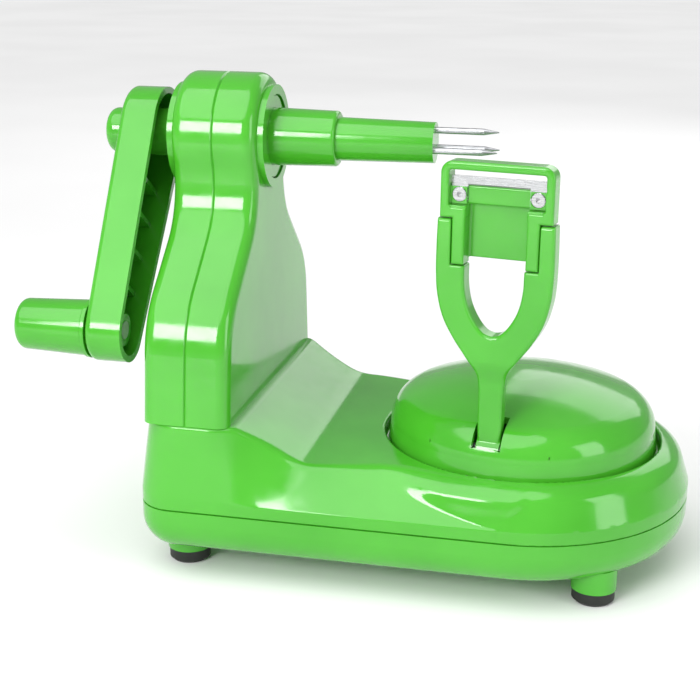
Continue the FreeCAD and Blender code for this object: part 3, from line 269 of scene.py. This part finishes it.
def skin(name, field, low, high, pitch, turn=None):
    """Meshes the zero surface of a field with one vertex per crossed cell, drawn onto the surface itself."""
    axes = [np.arange(first - pitch, second + 2 * pitch, pitch) for first, second in zip(low, high)]
    count = [len(axis) for axis in axes]
    slabs = []
    for start in range(0, count[0], 16):
        grid = np.meshgrid(axes[0][start:start + 16], axes[1], axes[2], indexing="ij")
        slabs.append(field(*grid))
    value = np.concatenate(slabs)
    inside = value < 0
    cells = tuple(size - 1 for size in count)
    total = np.zeros(cells + (3,))
    hits = np.zeros(cells)
    corner_offsets = [(0, 0), (1, 0), (0, 1), (1, 1)]
    for axis in range(3):
        others = [other for other in range(3) if other != axis]
        for first, second in corner_offsets:
            offset = [0, 0, 0]
            offset[others[0]] = first
            offset[others[1]] = second
            near_one = tuple(slice(o, o + c) for o, c in zip(offset, cells))
            offset[axis] = 1
            far_one = tuple(slice(o, o + c) for o, c in zip(offset, cells))
            a, b = value[near_one], value[far_one]
            crossed = (a < 0) != (b < 0)
            share = np.where(crossed, a / np.where(crossed, a - b, 1.0), 0.0)
            place = [float(o) for o in offset]
            for other in range(3):
                amount = share if other == axis else place[other]
                total[..., other] += np.where(crossed, amount, 0.0)
            hits += crossed
    active = hits > 0
    number = np.full(cells, -1)
    number[active] = np.arange(int(active.sum()))
    index = np.argwhere(active)
    local = total[active] / hits[active][:, None]
    points = np.array([axis[0] for axis in axes]) + (index + local) * pitch
    faces = []
    for axis in range(3):
        one, two = [other for other in range(3) if other != axis]
        if axis == 1:
            one, two = two, one
        span = [slice(1, c) for c in cells]
        span[axis] = slice(0, cells[axis])
        ahead = list(span)
        ahead[axis] = slice(1, cells[axis] + 1)
        a, b = inside[tuple(span)], inside[tuple(ahead)]
        for change, flip in ((a & ~b, False), (~a & b, True)):
            found = np.argwhere(change)
            base = found.copy()
            for other in (one, two):
                base[:, other] += 1
            quad = []
            for back_one, back_two in ((1, 1), (0, 1), (0, 0), (1, 0)):
                cell = base.copy()
                cell[:, one] -= back_one
                cell[:, two] -= back_two
                quad.append(number[cell[:, 0], cell[:, 1], cell[:, 2]])
            quad = np.stack(quad, axis=1)
            faces.append(quad[:, ::-1] if flip else quad)
    faces = np.concatenate(faces)
    eps = pitch * 0.02

    def gradient(at):
        slopes = []
        for axis in range(3):
            shift = np.zeros(3)
            shift[axis] = eps
            slopes.append((field(*(at + shift).T) - field(*(at - shift).T)) / (2 * eps))
        return np.stack(slopes, axis=1)

    for _ in range(4):
        slope = gradient(points)
        distance = field(*points.T)
        move = slope * (distance / np.maximum((slope ** 2).sum(axis=1), 0.05))[:, None]
        length = np.linalg.norm(move, axis=1)
        move *= np.minimum(1.0, 0.4 * pitch / np.maximum(length, 1e-9))[:, None]
        points = points - move
    normals = gradient(points)
    normals /= np.maximum(np.linalg.norm(normals, axis=1), 1e-9)[:, None]
    if turn is not None:
        points = points @ turn.T
        normals = normals @ turn.T
    mesh = bpy.data.meshes.new(name)
    mesh.vertices.add(len(points))
    mesh.vertices.foreach_set("co", (points / 1000.0).astype(np.float32).ravel())
    mesh.loops.add(faces.size)
    mesh.loops.foreach_set("vertex_index", faces.astype(np.int32).ravel())
    mesh.polygons.add(len(faces))
    mesh.polygons.foreach_set("loop_start", np.arange(0, faces.size, 4, dtype=np.int32))
    mesh.polygons.foreach_set("loop_total", np.full(len(faces), 4, dtype=np.int32))
    mesh.update(calc_edges=True)
    mesh.validate()
    mesh.polygons.foreach_set("use_smooth", np.ones(len(mesh.polygons), dtype=bool))
    mesh.normals_split_custom_set_from_vertices([tuple(normal) for normal in normals])
    item = bpy.data.objects.new(name, mesh)
    bpy.context.collection.objects.link(item)
    return item


def finished(item, body, node, material):
    item.data.materials.append(material)
    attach(item, body)
    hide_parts(node)
    return item


# ------------------------------------------------------------------ base cover
# X in these fields is measured from the turntable's axis
AXIS_X = 53.65
HALF = 57.6
LEFT = 122.5
SEAM = 25.2
CHINE = 30.0
DECK = 43.0
PEDESTAL = 54.6
WELL = 47.4
LEDGE = 38.4


def cover_side(x, y, z):
    above = np.maximum(z - CHINE, 0.0)
    lean = 0.09 + 0.50 * step_between(x, -97.0, -66.0) + 0.50 * step_between(x, -66.0, -30.0)
    half = HALF - lean * above
    straight = (np.abs(y) - half) / np.sqrt(1.0 + lean * lean)
    end = -x - (LEFT - 0.106 * above)
    corner = 13.0
    hollow = np.hypot(np.maximum(straight + corner, 0.0), np.maximum(end + corner, 0.0))
    block = hollow + np.minimum(np.maximum(straight, end) + corner, 0.0) - corner
    block = smax(block, x, 2.0)
    drum = (np.hypot(x, y) - HALF + 0.33 * above) / 1.05
    return smin(block, drum, 0.05 + 9.0 * step_between(above, 0.0, 10.0))


def cover_top(x, z):
    slope = (PEDESTAL - DECK) / 20.5
    ramp_line = PEDESTAL - slope * (x + 88.0)
    level = smax(np.full_like(x, DECK), smin(np.full_like(x, PEDESTAL), ramp_line, 0.8), 2.5)
    return z - level


def cover_outside(x, y, z):
    radius = 1.0 + 0.8 * step_between(x, -100.0, -80.0) + 3.4 * step_between(x, -40.0, -18.0)
    body = rounded(cover_side(x, y, z), cover_top(x, z), radius)
    return rounded(body, SEAM - z + 0.12, 0.5)


def cover_field(x, y, z):
    x = x - AXIS_X
    wall = 2.4
    body = cover_outside(x, y, z)
    inner = np.maximum(cover_side(x, y, z) + wall, cover_top(x, z) + wall)
    shell = np.maximum(body, -inner)
    radius = np.hypot(x, y)
    collar = np.maximum(np.maximum(radius - WELL - 2.2, 40.0 - radius), np.maximum(z - DECK + 0.5, LEDGE - 2.2 - z))
    shell = np.minimum(shell, collar)
    well = smax(radius - WELL, LEDGE - z, 1.0)
    hole = radius - (WELL - 4.6)
    gear_gap = blocky((x, y, z), (-115.0, -30.0, 28.0), (-93.7, 30.0, 70.0))
    shell = smax(shell, -well, 0.8)
    return np.maximum(shell, -np.minimum(hole, gear_gap))


cover = skin("base_cover_moulding", cover_field, (-70, -58.5, 24), (112, 58.5, 56), 0.8)
finished(cover, "base", "base_cover", green)

# ------------------------------------------------------------------ peeling arm and blade head
# These are drawn with the arm facing -Y, then turned with the turntable's rest position.
AZIMUTH = math.radians(10.0)
REACH = 39.0
PIVOT = 49.5
FACE_BACK = -REACH + 2.5
DEPTH = 7.0
FACE_FRONT = FACE_BACK - DEPTH


def turned_place(angle):
    return np.array([[math.cos(angle), math.sin(angle), 0.0], [-math.sin(angle), math.cos(angle), 0.0], [0.0, 0.0, 1.0]])


def smooth_curve(points, steps=8):
    """Points along a smooth line through the given ones."""
    padded = [points[0]] + list(points) + [points[-1]]
    line = []
    for a, b, c, d in zip(padded, padded[1:], padded[2:], padded[3:]):
        for index in range(steps):
            t = index / steps
            line.append(tuple(
                0.5 * (2 * q + (r - p) * t + (2 * p - 5 * q + 4 * r - s) * t * t + (3 * q - p - 3 * r + s) * t ** 3)
                for p, q, r, s in zip(a, b, c, d)))
    line.append(points[-1])
    return line


ARM_OUTER = smooth_curve([(4.0, 60.0), (4.1, 70.0), (5.2, 76.0), (8.6, 81.0), (12.6, 86.5), (16.2, 93.0), (18.2, 100.5),
                          (18.8, 108.0), (18.8, 117.0), (18.6, 124.4)])
ARM_INNER = smooth_curve([(9.5, 124.4), (9.5, 110.0), (9.3, 103.0), (8.0, 97.0), (5.4, 92.0), (2.6, 89.0), (0.0, 88.2)])


def mirrored_outline(outer, inner):
    half = [(0.0, outer[0][1])] + outer + inner
    return half[1:] + [(-x, z) for x, z in reversed(half[1:-1])]


ARM_SHAPE = mirrored_outline([(3.7, 46.5)] + ARM_OUTER, ARM_INNER)


def arm_field(x, y, z):
    flat = outline_field(x, z, ARM_SHAPE)
    depth = np.abs(y - (FACE_BACK + FACE_FRONT) / 2.0) - DEPTH / 2.0
    thinner = np.abs(y - FACE_BACK + 2.5) - 2.5
    depth = np.where(z < 72.0, np.maximum(depth, thinner), depth + (np.maximum(depth, thinner) - depth) * step_between(z, 80.0, 72.0))
    body = rounded(flat, depth, 1.1)
    ledge = blocky((np.abs(x), y, z), (9.0, -50.0, 109.9), (14.1, -30.0, 130.0), 0.3)
    body = smax(body, -ledge, 0.6)
    eye = np.maximum(np.hypot(y + REACH, z - PIVOT) - 4.0, np.abs(x) - 3.9)
    body = smin(body, eye, 0.4)
    return np.maximum(body, 1.55 - np.hypot(y + REACH, z - PIVOT))


HEAD_TOP = 142.3
HEAD_HALF = 17.9
BAR = 2.7


def head_field(x, y, z):
    across = np.abs(x)
    depth = np.abs(y - (FACE_BACK + FACE_FRONT) / 2.0) - DEPTH / 2.0
    frame = np.hypot(np.maximum(across - HEAD_HALF + 3.8, 0.0), np.maximum(z - HEAD_TOP + 3.8, 0.0)) - 3.8
    frame = np.maximum(frame, 124.75 - z)
    legs = np.maximum(np.abs(across - 11.8) - 2.1, np.maximum(110.2 - z, z - 132.0))
    outer = np.minimum(frame, legs)
    mouth_low = 134.6
    mouth = rounded(np.abs(x) - HEAD_HALF + BAR, np.maximum(z - HEAD_TOP + BAR, mouth_low - z), 0.9)
    gap = np.maximum(across - 9.7, z - 129.0)
    flat = smax(smax(outer, -mouth, 0.5), -gap, 0.5)
    body = rounded(flat, depth, 0.9)
    recess = blocky((x, y, z), (-HEAD_HALF + BAR, FACE_FRONT - 3.0, 128.6), (HEAD_HALF - BAR, FACE_FRONT + 3.5, 136.0), 0.4)
    body = smax(body, -recess, 0.6)
    web = blocky((x, y, z), (-10.2, FACE_BACK - 1.6, 112.0), (10.2, FACE_BACK, 130.0), 0.4)
    body = smin(body, web, 0.8)
    plate = blocky((across, y, z), (9.9, FACE_FRONT + 2.42, 128.8), (15.1, FACE_FRONT + 2.88, 134.3), 0.1)
    plate = np.maximum(plate, 2.25 - np.hypot(across - 12.4, z - 131.8))
    body = np.minimum(body, plate)
    groove = blocky((across, y, z), (9.9, FACE_FRONT - 1.0, 127.9), (14.6, FACE_FRONT + 0.5, 128.5), 0.1)
    body = smax(body, -groove, 0.3)
    eyelet = 1.3 - np.hypot(across - 12.4, z - 131.8)
    return np.maximum(body, eyelet)


def at_turntable(x, y):
    """Shifts a turned shape to the turntable's axis."""
    return Matrix.Translation((AXIS_X / 1000.0, 0.0, 0.0))


place = turned_place(AZIMUTH)
arm = skin("peeling_arm_moulding", arm_field, (-20, -44.5, 44), (20, -34, 126), 0.42, place)
head = skin("blade_head_moulding", head_field, (-19, -44.5, 109), (19, -35, 143.5), 0.3, place)
for item in (arm, head):
    item.data.transform(at_turntable(0, 0))
finished(arm, "arm", "peeling_arm", green)
finished(head, "arm", "blade_head", green)

# ------------------------------------------------------------------ floor and light
def area(name, place, aim, width, height, power, colour=(1, 1, 1)):
    data = bpy.data.lights.new(name, "AREA")
    data.shape = "RECTANGLE"
    data.size = width
    data.size_y = height
    data.energy = power
    data.color = colour
    item = bpy.data.objects.new(name, data)
    bpy.context.collection.objects.link(item)
    item.location = place
    item.rotation_euler = (Vector(aim) - Vector(place)).to_track_quat("-Z", "Y").to_euler()
    return item


bpy.ops.mesh.primitive_plane_add(size=30.0)
floor = bpy.context.object
floor.name = "floor"
floor_material, floor_tree, floor_shader = new_material("floor_paper")
paper = mixed(floor_tree, ramp(floor_tree, noise(floor_tree, 3, 2), 0, 1), (0.86, 0.86, 0.86), (0.9, 0.9, 0.9))
floor_tree.links.new(paper.outputs["Result"], floor_shader.inputs["Base Color"])
floor_shader.inputs["Roughness"].default_value = 0.9
floor_shader.inputs["Specular IOR Level"].default_value = 0.1
floor.data.materials.append(floor_material)

world = bpy.data.worlds.new("studio")
world.use_nodes = True
world.node_tree.nodes["Background"].inputs["Color"].default_value = (1, 1, 1, 1)
world.node_tree.nodes["Background"].inputs["Strength"].default_value = 0.42
bpy.context.scene.world = world
CENTRE = (0, 0, 0.07)
area("key", (-0.34, -0.78, 0.42), CENTRE, 0.34, 0.26, 4.6)
area("side", (0.85, -0.35, 0.35), CENTRE, 0.35, 0.6, 2.4)
area("rim", (0.3, 0.9, 0.6), CENTRE, 0.8, 0.5, 2.0)
sun_data = bpy.data.lights.new("sky", "SUN")
sun_data.energy = 1.9
sun_data.angle = math.radians(60)
sun = bpy.data.objects.new("sky", sun_data)
sun.rotation_euler = (math.radians(24), math.radians(-14), 0)
bpy.context.collection.objects.link(sun)
